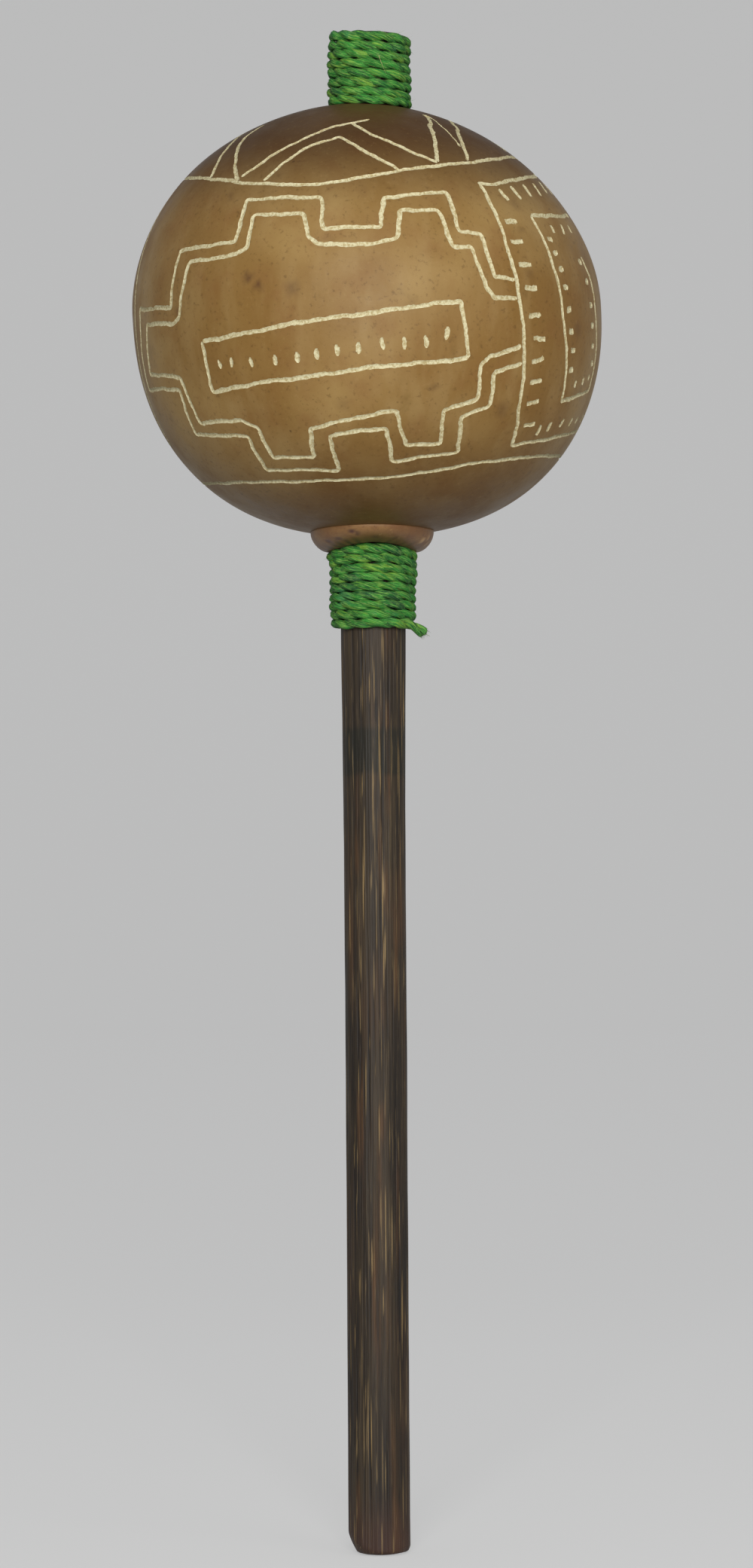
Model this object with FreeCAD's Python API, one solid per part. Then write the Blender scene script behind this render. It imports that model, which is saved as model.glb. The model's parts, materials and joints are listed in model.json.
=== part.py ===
"""Gourd rattle on a palm-wood stick, at real size in millimetres.

A dried round gourd is threaded on a stick of black palm wood. The stick passes right through
the gourd and stands out at its crown. A collar of rind closes the gourd underneath, and two
tight bindings of twine, wound on the stick above and below, pinch the gourd between them.
Loose seeds lie on the gourd's floor round the stick, and hop when the rattle is shaken.

The frame: +Z runs up the stick, from the butt at the origin to the crown, and -Y is the front.
"""
import FreeCAD, Part

import math
import os

from FreeCAD import Vector

# ---- Driving dimensions -------------------------------------------------------------------
# Stick: a straight grip, a taper up to the lower binding, and a slimmer crown end.
STICK_LENGTH = 389.5
GRIP_DIAMETER = 16.0
GRIP_TAPER_LENGTH = 46.6
SHANK_DIAMETER = 16.7
CROWN_DIAMETER = 16.2
CROWN_TAPER_LENGTH = 60.0
CROWN_STANDOUT = 0.9
BUTT_CHAMFER = 1.0
CROWN_CHAMFER = 0.8
CHIP_DEPTH = 2.3
CHIP_HEIGHT = 5.5

# Gourd: nearly round above, fuller below, a little off the stick's line and leaning to -X.
GOURD_DIAMETER = 120.0
GOURD_RISE = 52.1
GOURD_DROP = 58.2
CROWN_FULLNESS = 1.92
FLOOR_FULLNESS = 2.3
GOURD_OFFSET_X = -1.5
GOURD_LEAN = 1.4
RIND_THICKNESS = 3.2
HOLE_CLEARANCE = 0.25

# Collar: a cup of rind with a rounded side, seated on the gourd's underside.
COLLAR_BRIM_DIAMETER = 31.4
COLLAR_FOOT_DIAMETER = 24.2
COLLAR_DROP = 4.3
COLLAR_LIP = 0.6
COLLAR_BORE_CLEARANCE = 0.15
COLLAR_SEAT_GAP = 0.05

# Bindings: twine wound turn on turn, each turn a pitch above the last.
TWINE_THICKNESS = 2.7
TURN_GROOVE = 0.8
UPPER_TURNS = 8
UPPER_PITCH = 2.28
LOWER_TURNS = 9
LOWER_PITCH = 2.14
LOWER_FLARE = 0.7
BINDING_GAP = 0.05
TAIL_DIAMETER = 2.3
TAIL_LENGTH = 7.5
TAIL_BEARING = 50.0
TAIL_DROOP = 20.0

# Seeds: two rings of loose round seeds, the inner one beside the stick.
SEED_DIAMETER = 5.6
SEED_GAP = 0.3
INNER_RING_SEEDS = 8
OUTER_RING_SEEDS = 10
RING_SPREAD = 1.2

# Fineness: flats from equator to pole, and straight sides round a form that isn't turned true.
SKIN_FLATS = 7
CAVITY_FLATS = 6
CAVITY_SIDES = 30
COLLAR_SIDES = 36
BINDING_SIDES = 24
SEED_FLATS = 2
SEED_SIDES = 8
REST_SEARCH_STEPS = 20

# ---- Sizes that follow ----------------------------------------------------------------------
grip_radius = GRIP_DIAMETER / 2
shank_radius = SHANK_DIAMETER / 2
crown_radius = CROWN_DIAMETER / 2
seed_radius = SEED_DIAMETER / 2
gourd_top = STICK_LENGTH - CROWN_STANDOUT - UPPER_TURNS * UPPER_PITCH
gourd_equator = gourd_top - GOURD_RISE
gourd_floor = gourd_equator - GOURD_DROP
collar_foot = gourd_floor - COLLAR_DROP
lower_binding_base = collar_foot - BINDING_GAP - LOWER_TURNS * LOWER_PITCH
UP = Vector(0, 0, 1)


# ---- Forms of revolution --------------------------------------------------------------------
def turned(outline):
    """Solid of a closed outline of (radius, height) corners, turned true about the stick's axis."""
    corners = [Vector(radius, 0, height) for radius, height in outline]
    return Part.Face(Part.makePolygon(corners + corners[:1])).revolve(Vector(), UP, 360)


def turned_in_flats(outline, sides):
    """Solid of the same kind of outline, carried round in straight sides with its corners on them."""
    faces = []
    for (r0, z0), (r1, z1) in zip(outline, outline[1:] + outline[:1]):
        for side in range(sides):
            a = 2 * math.pi * side / sides
            b = 2 * math.pi * (side + 1) / sides
            corners = [Vector(r0 * math.cos(a), r0 * math.sin(a), z0)]
            corners += [Vector(r0 * math.cos(b), r0 * math.sin(b), z0)] if r0 else []
            corners += [Vector(r1 * math.cos(b), r1 * math.sin(b), z1)]
            corners += [Vector(r1 * math.cos(a), r1 * math.sin(a), z1)] if r1 else []
            if len(corners) > 2:
                faces.append(Part.Face(Part.makePolygon(corners + corners[:1])))
    return Part.Solid(Part.Shell(faces))


def oval(width, rise, drop, fullness, flats):
    """Outline from lower to upper pole, each half a superellipse (r/width)^n + (z/reach)^n = 1.

    The fullness is the power n of the lower and of the upper half.
    """
    angles = [math.pi / 2 * step / flats for step in range(flats)]
    low, high = (2 / n for n in fullness)
    below = [(width * math.cos(a) ** low, -drop * math.sin(a) ** low) for a in angles]
    above = [(width * math.cos(a) ** high, rise * math.sin(a) ** high) for a in angles]
    return [(0, -drop)] + below[:0:-1] + above + [(0, rise)]


# ---- Stick ----------------------------------------------------------------------------------
def stick():
    """Palm-wood stick with chamfered ends, and one knife cut that slopes off its butt."""
    body = turned([
        (0, 0),
        (grip_radius - BUTT_CHAMFER, 0),
        (grip_radius, BUTT_CHAMFER),
        (grip_radius, lower_binding_base - GRIP_TAPER_LENGTH),
        (shank_radius, lower_binding_base),
        (shank_radius, gourd_top - CROWN_TAPER_LENGTH),
        (crown_radius, gourd_top - RIND_THICKNESS),
        (crown_radius, STICK_LENGTH - CROWN_CHAMFER),
        (crown_radius - CROWN_CHAMFER, STICK_LENGTH),
        (0, STICK_LENGTH),
    ])
    side = -grip_radius
    corners = [Vector(side, side, 0), Vector(side + CHIP_DEPTH, side, 0), Vector(side, side, CHIP_HEIGHT)]
    chip = Part.Face(Part.makePolygon(corners + corners[:1])).extrude(Vector(0, GRIP_DIAMETER, 0))
    return body.cut(chip)


# ---- Gourd ----------------------------------------------------------------------------------
def gourd_outline(inset, flats):
    """Gourd's outline about its own equator, set in from the skin."""
    fullness = (FLOOR_FULLNESS, CROWN_FULLNESS)
    return oval(GOURD_DIAMETER / 2 - inset, GOURD_RISE - inset, GOURD_DROP - inset, fullness, flats)


def hung_on_stick(body):
    """Body about the gourd's equator, put in its place: off the stick's line and leaning."""
    body.rotate(Vector(), Vector(0, 1, 0), -GOURD_LEAN)
    body.translate(Vector(GOURD_OFFSET_X, 0, gourd_equator))
    return body


def gourd_skin(gap):
    """Solid gourd, larger than its skin by a gap."""
    return hung_on_stick(turned(gourd_outline(-gap, SKIN_FLATS)))


def gourd_shell():
    """Hollow rind, scraped out in flats, with a hole at each pole that fits the stick there."""
    cavity = hung_on_stick(turned_in_flats(gourd_outline(RIND_THICKNESS, CAVITY_FLATS), CAVITY_SIDES))
    floor_hole = Part.makeCylinder(shank_radius + HOLE_CLEARANCE, gourd_equator)
    crown_hole = Part.makeCylinder(crown_radius + HOLE_CLEARANCE, gourd_equator, UP * gourd_equator)
    return gourd_skin(0).cut([cavity, floor_hole, crown_hole])


# ---- Collar ---------------------------------------------------------------------------------
def neck_collar():
    """Cup of rind with rounded sides, hollowed on top to the gourd and bored for the stick."""
    brim = COLLAR_BRIM_DIAMETER / 2
    foot = COLLAR_FOOT_DIAMETER / 2
    top = gourd_floor + COLLAR_DROP
    cup = turned_in_flats([
        (0, collar_foot),
        (foot - COLLAR_LIP, collar_foot),
        (foot, collar_foot + COLLAR_LIP),
        (0.7 * brim + 0.3 * foot, gourd_floor - 0.35 * COLLAR_DROP),
        (brim, gourd_floor + COLLAR_LIP),
        (brim, top),
        (0, top),
    ], COLLAR_SIDES)
    bore = Part.makeCylinder(shank_radius + COLLAR_BORE_CLEARANCE, top)
    return cup.cut([gourd_skin(COLLAR_SEAT_GAP), bore]).removeSplitter()


# ---- Bindings -------------------------------------------------------------------------------
def winding(core, base, turns, pitch, flare):
    """Sleeve of tight turns round a core. Each turn is a ridge, and the top one stands out more."""
    bore = (core + BINDING_GAP) / math.cos(math.pi / BINDING_SIDES)
    groove = core + TWINE_THICKNESS - TURN_GROOVE
    outline = [(bore, base), (groove, base)]
    for turn in range(turns):
        stand = flare * turn / turns
        outline.append((groove + TURN_GROOVE + stand, base + (turn + 0.5) * pitch))
        outline.append((groove + stand, base + (turn + 1) * pitch))
    outline.append((bore, base + turns * pitch))
    return turned_in_flats(outline, BINDING_SIDES)


def upper_binding(shell):
    """Binding that bears on the highest side of the gourd's crown."""
    base = shell.optimalBoundingBox(False).ZMax + BINDING_GAP
    return winding(crown_radius, base, UPPER_TURNS, UPPER_PITCH, 0)


def lower_binding():
    """Binding under the collar, whose cut end leaves its lowest turn on a tangent and droops."""
    coil = winding(shank_radius, lower_binding_base, LOWER_TURNS, LOWER_PITCH, LOWER_FLARE)
    middle = shank_radius + TWINE_THICKNESS - TAIL_DIAMETER / 2
    droop = math.radians(TAIL_DROOP)
    start = Vector(0, -middle, lower_binding_base + LOWER_PITCH / 2)
    along = Vector(math.cos(droop), 0, -math.sin(droop))
    tail = Part.makeCylinder(TAIL_DIAMETER / 2, TAIL_LENGTH, start, along)
    tail.rotate(Vector(), UP, TAIL_BEARING)
    return coil.fuse(tail)


# ---- Seeds ----------------------------------------------------------------------------------
def seed(x, y, z):
    """Round seed with its centre at a place."""
    ball = turned_in_flats(oval(seed_radius, seed_radius, seed_radius, (2, 2), SEED_FLATS), SEED_SIDES)
    ball.translate(Vector(x, y, z))
    return ball


def seed_places():
    """Place (x, y) of each seed. The outer ring is turned half a step from the inner one."""
    places = []
    radius = shank_radius + SEED_GAP + seed_radius
    for ring, count in enumerate((INNER_RING_SEEDS, OUTER_RING_SEEDS)):
        for number in range(count):
            angle = 2 * math.pi * (number + ring / 2) / count
            places.append((radius * math.cos(angle), radius * math.sin(angle)))
        radius += SEED_DIAMETER + RING_SPREAD
    return places


def rest_height(x, y, shell, end):
    """Height nearest to end, coming from the gourd's middle, where a seed is a gap off the rind."""
    free = gourd_equator
    for _ in range(REST_SEARCH_STEPS):
        middle = (free + end) / 2
        if Part.Vertex(x, y, middle).distToShape(shell)[0] > seed_radius + SEED_GAP:
            free = middle
        else:
            end = middle
    return free


def main():
    os.makedirs("parts", exist_ok=True)
    shell = gourd_shell()
    nodes = {
        "stick": stick(),
        "gourd_shell": shell,
        "neck_collar": neck_collar(),
        "upper_binding": upper_binding(shell),
        "lower_binding": lower_binding(),
    }
    for number, (x, y) in enumerate(seed_places(), 1):
        low = rest_height(x, y, shell, gourd_floor)
        high = rest_height(x, y, shell, gourd_top)
        nodes[f"seed_{number:02d}"] = seed(x, y, low)
        print(f"seed_{number:02d} hops {high - low:.2f} mm")
    for name, shape in nodes.items():
        shape.exportStep(f"parts/{name}.step")


main()
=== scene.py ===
"""Looks of a gourd rattle: a palm-wood stick threaded through an engraved gourd, with a collar
under it and two bindings of green twine. Lengths are in metres. Only the gourd, the collar and
the bindings are worked out in millimetres, and put into metres when their points are made."""

import json
import math

import bpy
import numpy as np
from mathutils import Matrix, Vector
from mathutils.geometry import delaunay_2d_cdt


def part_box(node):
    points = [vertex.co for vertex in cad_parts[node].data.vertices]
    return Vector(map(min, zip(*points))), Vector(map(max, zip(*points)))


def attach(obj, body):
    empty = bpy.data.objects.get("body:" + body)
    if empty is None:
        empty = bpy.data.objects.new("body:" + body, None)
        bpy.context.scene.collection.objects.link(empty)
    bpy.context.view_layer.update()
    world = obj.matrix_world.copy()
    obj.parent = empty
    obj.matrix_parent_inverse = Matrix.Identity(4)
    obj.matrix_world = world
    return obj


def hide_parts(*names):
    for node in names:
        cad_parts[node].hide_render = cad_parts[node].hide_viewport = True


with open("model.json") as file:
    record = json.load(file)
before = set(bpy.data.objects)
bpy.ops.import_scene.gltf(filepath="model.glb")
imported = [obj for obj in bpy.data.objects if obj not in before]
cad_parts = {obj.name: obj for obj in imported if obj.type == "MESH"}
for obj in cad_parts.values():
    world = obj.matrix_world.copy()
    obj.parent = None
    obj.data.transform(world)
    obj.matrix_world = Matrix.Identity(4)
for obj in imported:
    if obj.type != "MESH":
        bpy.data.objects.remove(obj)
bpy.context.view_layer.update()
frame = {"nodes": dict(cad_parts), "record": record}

# ---- Camera ---------------------------------------------------
# It stands level with the middle of the stick, a metre and a half in front of it, and is turned
# a little on its own axis, so that the crown of the rattle leans to the left.
CAMERA_DISTANCE = 1.5
CAMERA_ROLL = math.radians(0.395)
VIEW_HEIGHT = 0.401
view_middle = (0.00057, 0.1966)

lens = bpy.data.cameras.new("camera")
lens.sensor_width = 36
lens.lens = lens.sensor_width * CAMERA_DISTANCE / VIEW_HEIGHT
camera = bpy.data.objects.new("camera", lens)
camera.matrix_world = (Matrix.Translation((view_middle[0], -CAMERA_DISTANCE, view_middle[1]))
                       @ Matrix.Rotation(CAMERA_ROLL, 4, "Y") @ Matrix.Rotation(math.pi / 2, 4, "X"))
bpy.context.scene.collection.objects.link(camera)
bpy.context.scene.camera = camera


# ---- Stick ----------------------------------------------------
# A straight stick of black palm wood, split, shaved and rubbed round. Its fibres are near black,
# with golden ones lying open in long lens-shaped streaks. Both ends are cut off with a knife.
GRIP_RADIUS = 0.0080
SHANK_RADIUS = 0.00835
CROWN_RADIUS = 0.0081
CROWN_CUT = 0.0007
CROWN_SHORT = 0.0009
STICK_COLUMNS = 360
STICK_ROWS = 240
BUTT_ROWS = 18
CAP_RINGS = 8


def full_turn(count):
    """Angles in equal steps round a full turn, from 0."""
    return np.linspace(0, math.tau, count, endpoint=False)


def closed_noise(angle, along, seed, ripples, around, length):
    """Sum of cosines of (whole number x angle + wave number x along + phase), so that it closes
    on itself round the piece. The whole numbers lie in the range around, and the waves along
    are at least length long. It stays mostly between -1 and 1."""
    dice = np.random.default_rng(seed)
    total = np.zeros(np.broadcast(angle, along).shape)
    for _ in range(ripples):
        turns = dice.integers(around[0], around[1] + 1)
        wave = dice.uniform(-1, 1) * math.tau / length
        total += np.cos(turns * angle + wave * along + dice.uniform(0, math.tau))
    return total / math.sqrt(ripples)


def lenses(angle, along, radius, marks):
    """Lens-shaped marks on a turned form: each is its strength x (1 - (across/half width)^2)
    x (1 - (along/half length)^2), where both are positive. Where marks meet, the strongest holds."""
    value = np.zeros(np.broadcast(angle, along).shape)
    for at, height, half_width, half_length, strength in marks:
        across = radius * ((angle - at + math.pi) % math.tau - math.pi) / half_width
        up = (along - height) / half_length
        lens_shape = np.clip(1 - across ** 2, 0, 1) * np.clip(1 - up ** 2, 0, 1)
        value = np.maximum(value, strength * lens_shape)
    return value


def ring_faces(index):
    """Quads between rings of points, each ring a row of the index, closed across its columns.
    They face outwards where the rows go up and the columns go counterclockwise from above."""
    right = np.roll(index, -1, axis=1)
    return np.stack([index[:-1], right[:-1], right[1:], index[1:]], -1).reshape(-1, 4)


def closed_rings(rings, low_end, high_end):
    """Points, quads and triangles of a skin of rings that closes on a point at each end."""
    index = np.arange(rings[..., 0].size).reshape(rings.shape[:2])
    low, high = index[0], index[-1]
    caps = np.concatenate([np.stack([0 * low + index.size, np.roll(low, -1), low], 1),
                           np.stack([0 * high + index.size + 1, high, np.roll(high, -1)], 1)])
    return np.concatenate([rings.reshape(-1, 3), [low_end, high_end]]), ring_faces(index), caps


def piece_from(name, points, quads=(), triangles=(), attributes=(), parts=None):
    """Smooth mesh object from arrays of points and of faces, with values at its points, and with
    the number of each face's material where it has several."""
    points = np.asarray(points, np.float32).reshape(-1, 3)
    corners = np.concatenate([np.ravel(quads), np.ravel(triangles)]).astype(np.int32)
    sizes = np.repeat([4, 3], [len(quads), len(triangles)])
    mesh = bpy.data.meshes.new(name)
    mesh.vertices.add(len(points))
    mesh.vertices.foreach_set("co", points.ravel())
    mesh.loops.add(len(corners))
    mesh.loops.foreach_set("vertex_index", corners)
    mesh.polygons.add(len(sizes))
    mesh.polygons.foreach_set("loop_start", np.cumsum(sizes) - sizes)
    mesh.update(calc_edges=True)
    mesh.polygons.foreach_set("use_smooth", np.ones(len(sizes), bool))
    for title, values in attributes:
        single = np.size(values) == len(points)
        layer = mesh.attributes.new(title, "FLOAT" if single else "FLOAT_VECTOR", "POINT")
        layer.data.foreach_set("value" if single else "vector", np.ravel(values).astype(np.float32))
    if parts is not None:
        mesh.polygons.foreach_set("material_index", np.asarray(parts, np.int32))
    piece = bpy.data.objects.new(name, mesh)
    bpy.context.scene.collection.objects.link(piece)
    return piece


class Finish:
    """A material under its own name: its shader, and short ways to add and join its nodes."""

    def __init__(self, name, roughness, **constants):
        self.material = bpy.data.materials.new(name)
        self.material.use_nodes = True
        self.tree = self.material.node_tree
        self.shader = self.tree.nodes["Principled BSDF"]
        self.shader.inputs["Roughness"].default_value = roughness
        for socket, value in constants.items():
            self.shader.inputs[socket.replace("_", " ")].default_value = value

    def node(self, kind, settings=(), **sockets):
        """A node of a kind, under settings of its own, with its sockets joined or set."""
        made = self.tree.nodes.new("ShaderNode" + kind)
        for key, value in dict(settings).items():
            setattr(made, key, value)
        for socket, value in sockets.items():
            self.put(value, made.inputs[socket.replace("_", " ")])
        return made

    def put(self, value, socket):
        if hasattr(value, "is_output"):
            self.tree.links.new(value, socket)
        else:
            socket.default_value = value

    def place(self):
        """The point on the piece, in the model's frame."""
        return self.node("TexCoord").outputs["Object"]

    def noise(self, scale, detail, rough, stretch=(1, 1, 1), shift=0.0, at=None):
        """Noise of a scale, drawn out by a stretch, at the piece's own point or at another."""
        moved = self.node("Mapping", Vector=at or self.place(), Scale=stretch,
                          Location=(shift, shift / 3, shift / 7)).outputs["Vector"]
        return self.node("TexNoise", Vector=moved, Scale=scale, Detail=detail, Roughness=rough).outputs["Fac"]

    def span(self, value, low, high, most=1.0, least=0.0):
        """Smooth step from the least, where the value is low, to the most, where it is high."""
        return self.node("MapRange", {"interpolation_type": "SMOOTHSTEP"}, Value=value, From_Min=low,
                         From_Max=high, To_Min=least, To_Max=most).outputs["Result"]

    def math(self, operation, a, b):
        made = self.node("Math", {"operation": operation})
        self.put(a, made.inputs[0])
        self.put(b, made.inputs[1])
        return made.outputs[0]

    def times(self, a, b):
        return self.math("MULTIPLY", a, b)

    def height(self, noise, reach):
        """Height on the model, made uneven by a noise x its reach."""
        split = self.node("SeparateXYZ", Vector=self.place())
        return self.math("ADD", split.outputs["Z"], self.times(noise, reach))

    def attribute(self, name, output="Fac"):
        return self.node("Attribute", {"attribute_name": name}).outputs[output]

    def bump(self, height, depth, strength):
        made = self.node("Bump", Strength=strength, Distance=depth, Height=height)
        self.put(made.outputs["Normal"], self.shader.inputs["Normal"])

    def painted(self, ground, *coats):
        """Gives the shader a ground colour under coats, each a share, or what span takes to make
        one, and a colour to mix in by that share."""
        colour = rgb(*ground)
        for share, *coat in coats:
            share = self.span(*share) if isinstance(share, tuple) else share
            mixed = self.node("Mix", {"data_type": "RGBA"}, Factor=share, A=colour, B=rgb(*coat))
            colour = mixed.outputs["Result"]
        self.put(colour, self.shader.inputs["Base Color"])


def rgb(red, green, blue):
    """A colour on the 0 to 255 scale of a paint chart, as the linear light a shader takes."""
    channel = np.array([red, green, blue]) / 255
    linear = np.where(channel <= 0.04045, channel / 12.92, ((channel + 0.055) / 1.055) ** 2.4)
    return (*linear.tolist(), 1.0)


stick_low, stick_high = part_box("stick")
stick_top = stick_high.z - CROWN_SHORT
gourd_low, gourd_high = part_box("gourd_shell")
lower_wrap_low, lower_wrap_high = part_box("lower_binding")
upper_wrap_low, upper_wrap_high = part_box("upper_binding")

stick_angle = full_turn(STICK_COLUMNS)[None, :]
stick_height = np.concatenate([np.linspace(0.0006, 0.012, BUTT_ROWS),
                               np.linspace(0.0135, stick_top - 0.0006, STICK_ROWS - BUTT_ROWS)])[:, None]
stick_radius = np.interp(stick_height, [0, 0.19, lower_wrap_low.z, 0.31, gourd_high.z - 0.003, stick_top],
                         [GRIP_RADIUS, GRIP_RADIUS, SHANK_RADIUS, SHANK_RADIUS, CROWN_RADIUS, CROWN_RADIUS])
shaved_flats = closed_noise(stick_angle, stick_height, 3, 9, (3, 9), 0.16)
fibre_ridges = closed_noise(stick_angle, stick_height, 5, 26, (24, 74), 0.05)
fine_fibres = closed_noise(stick_angle, stick_height, 8, 30, (70, 122), 0.025)
dice = np.random.default_rng(12)


def strewn(count, half_width, half_length, strength):
    """Marks strewn over the bare wood, as lenses takes them."""
    return lenses(stick_angle, stick_height, GRIP_RADIUS, np.stack(
        [dice.uniform(0, math.tau, count), dice.uniform(0, 0.25, count), dice.uniform(*half_width, count),
         dice.uniform(*half_length, count), dice.uniform(*strength, count)], 1))


stick_gold = strewn(170, (0.00010, 0.00019), (0.003, 0.012), (0.4, 1.0))
stick_tan = strewn(80, (0.0005, 0.0013), (0.006, 0.020), (0.2, 0.9))
stick_furrow = strewn(120, (0.0003, 0.0006), (0.010, 0.045), (0.4, 1.0))
stick_surface = (stick_radius - 0.00012 + 0.00007 * shaved_flats + 0.000035 * fibre_ridges
                 + 0.00002 * fine_fibres - 0.00016 * stick_furrow + 0.00003 * stick_gold)
# The butt's edge is knocked off unevenly, most on the left, and the crown's only a little.
from_left = stick_angle - math.pi
butt_cut = 0.0007 + 0.0003 * np.cos(3 * stick_angle + 1) + 0.0019 * np.exp(-((from_left / 0.7) ** 2))
stick_surface = stick_surface - butt_cut * np.clip(1 - stick_height / (2.3 * butt_cut), 0, 1) ** 1.4
stick_surface = stick_surface - CROWN_CUT * np.clip(1 - (stick_top - stick_height) / 0.0012, 0, 1) ** 2
stick_points = np.stack([stick_surface * np.cos(stick_angle), stick_surface * np.sin(stick_angle),
                         stick_height + 0 * stick_angle], -1)

# Each end is closed by rings drawn in to the axis in equal shares, and their height goes to the
# end's own over the first third.
share = (np.arange(1, CAP_RINGS) / CAP_RINGS)[:, None, None]
caps = []
for rim, height in ((stick_points[0], 0.0), (stick_points[-1], stick_top)):
    cap = rim * (1 - share)
    cap[..., 2] = rim[:, 2] + (height - rim[:, 2]) * np.minimum(1, 3 * share[..., 0])
    caps.append(cap)
stick_rings = np.concatenate([caps[0][::-1], stick_points, caps[1]])
stick_marks = (("gold", stick_gold), ("tan", stick_tan),
               ("furrow", stick_furrow + np.clip(-0.5 * fibre_ridges, 0, 1)))
cap_rows = ((CAP_RINGS - 1, CAP_RINGS - 1), (0, 0))
stick = piece_from("stick_wood", *closed_rings(stick_rings, (0, 0, 0), (0, 0, stick_top)), [
    (title, np.append(np.pad(values, cap_rows, "edge"), [0, 0])) for title, values in stick_marks])

wood = Finish("black_palm_wood", 0.55, Specular_IOR_Level=0.28)
streaks = wood.noise(900, 4, 0.65, (1, 1, 0.045))
slivers = wood.noise(2100, 2, 0.5, (1, 1, 0.03), 4.7)
broad = wood.noise(260, 3, 0.6, (1, 1, 0.05), 3.1)
patches = wood.noise(60, 3, 0.55, (1, 1, 0.35), 7.7)
wood_height = wood.height(patches, 0.006)
# A stretch under the winding is stained dark and greenish, and the worn butt is redder.
stained = wood.times(wood.span(wood_height, 0.2005, 0.2025), wood.span(wood_height, 0.2150, 0.2125))
wood.painted(
    (38, 31, 24),
    ((broad, 0.35, 0.65), 64, 53, 39),
    ((patches, 0.5, 0.75), 74, 55, 38),
    ((streaks, 0.55, 0.75, 0.55), 104, 88, 62),
    ((streaks, 0.45, 0.27, 0.8), 18, 14, 12),
    (wood.times(wood.attribute("furrow"), 0.7), 18, 14, 12),
    (wood.times(wood.attribute("tan"), wood.span(streaks, 0.35, 0.65, 0.75, 0.1)), 104, 72, 44),
    (wood.times(stained, 0.62), 24, 27, 21),
    ((wood_height, 0.022, 0.003, 0.4), 78, 50, 44),
    ((slivers, 0.62, 0.74, 0.65), 134, 112, 76),
    (wood.times(wood.attribute("gold"), wood.span(streaks, 0.3, 0.6, 1.0, 0.3)), 184, 154, 104))
wood.bump(wood.math("ADD", streaks, wood.times(slivers, 0.7)), 0.00025, 0.7)
stick.data.materials.append(wood.material)
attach(stick, "rattle")
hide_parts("stick")


# ---- Gourd ----------------------------------------------------
# A dried round gourd, scraped clean, oiled brown and hollow. Its pattern is scratched through the
# brown skin with a point, down to the cream pith, by eye: the lines wander, and their edges fray.
GOURD_RADIUS = 59.85
GOURD_RISE = 52.4
GOURD_DROP = 58.2
CROWN_FULLNESS = 1.9
FLOOR_FULLNESS = 2.3
GOURD_LEAN = math.radians(1.4)
GOURD_SKEW = 0.031
GOURD_OFFSET = -1.45
RIND_THICKNESS = 2.9
CROWN_HOLE = 8.4
FLOOR_HOLE = 8.65
LINE_WIDTH = 1.1
LINE_DEPTH = 0.32
LINE_STEP = 0.62
NICK_STEP = 0.42
NICK_LENGTH = 6.0
SKIN_POINTS = 24000
RIM_POINTS = 96
INSIDE_ROWS = 72
HOLE_DROP = 0.8
gourd_equator = gourd_high.z * 1000 - GOURD_RISE + HOLE_DROP

# The gourd's meridian, from its lower to its upper pole, in millimetres: each half is a
# superellipse (radius/width)^n + (height/reach)^n = 1. "Latitude" is the map's own height, the sum
# of length along the meridian / radius: with the azimuth it makes a map that keeps angles.
meridian = np.linspace(-1, 1, 2999)
meridian = np.sign(meridian) * meridian ** 2 * (math.pi / 2)
above = meridian > 0
power = 2 / np.where(above, CROWN_FULLNESS, FLOOR_FULLNESS)
short_of_pole = math.pi / 2 - 1e-6
arc_radius = GOURD_RADIUS * np.cos(np.clip(meridian, -short_of_pole, short_of_pole)) ** power
arc_height = np.sign(meridian) * np.abs(np.sin(meridian)) ** power
arc_height = np.where(above, GOURD_RISE, GOURD_DROP) * arc_height
arc_step = np.hypot(np.diff(arc_radius), np.diff(arc_height))
arc_length = np.concatenate([[0], np.cumsum(arc_step)])
middle_radius = (arc_radius[1:] + arc_radius[:-1]) / 2
arc_latitude = np.concatenate([[0], np.cumsum(arc_step / middle_radius)])
arc_latitude -= np.interp(0, arc_height, arc_latitude)
arc_area = np.concatenate([[0], np.cumsum(arc_step * middle_radius)])


def hung(x, y, z):
    """Point of the upright gourd, in millimetres about its equator, in its place on the stick:
    turned about Y by its lean, sheared along X by its skew, moved off the stick's line, and put
    into metres."""
    lean, level = math.sin(GOURD_LEAN), math.cos(GOURD_LEAN)
    across = x * level - z * (lean + GOURD_SKEW) + GOURD_OFFSET
    return np.stack([across, y, x * lean + z * level + gourd_equator], -1) / 1000


def skin_points(azimuth, latitude, depth=0.0):
    """Points of the skin at an azimuth, from the front to the right, and a latitude of the map,
    sunk by a depth across the skin. The skin swells and dips by a quarter of a millimetre."""
    length = np.interp(latitude, arc_latitude, arc_length)
    radius = np.interp(length, arc_length, arc_radius)
    height = np.interp(length, arc_length, arc_height)
    near = np.stack([np.maximum(length - 0.4, 0), np.minimum(length + 0.4, arc_length[-1])])
    slope_out, slope_up = (np.diff(np.interp(near, arc_length, values), axis=0)[0]
                           for values in (arc_radius, arc_height))
    steep = np.hypot(slope_out, slope_up)
    fade = np.clip((radius - 16) / 25, 0, 1)
    swell = 0.24 * fade * closed_noise(azimuth, height, 21, 14, (1, 6), 55)
    out = (swell - depth) * slope_up / steep
    up = -(swell - depth) * slope_out / steep
    return hung((radius + out) * np.sin(azimuth), -(radius + out) * np.cos(azimuth), height + up)


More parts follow.
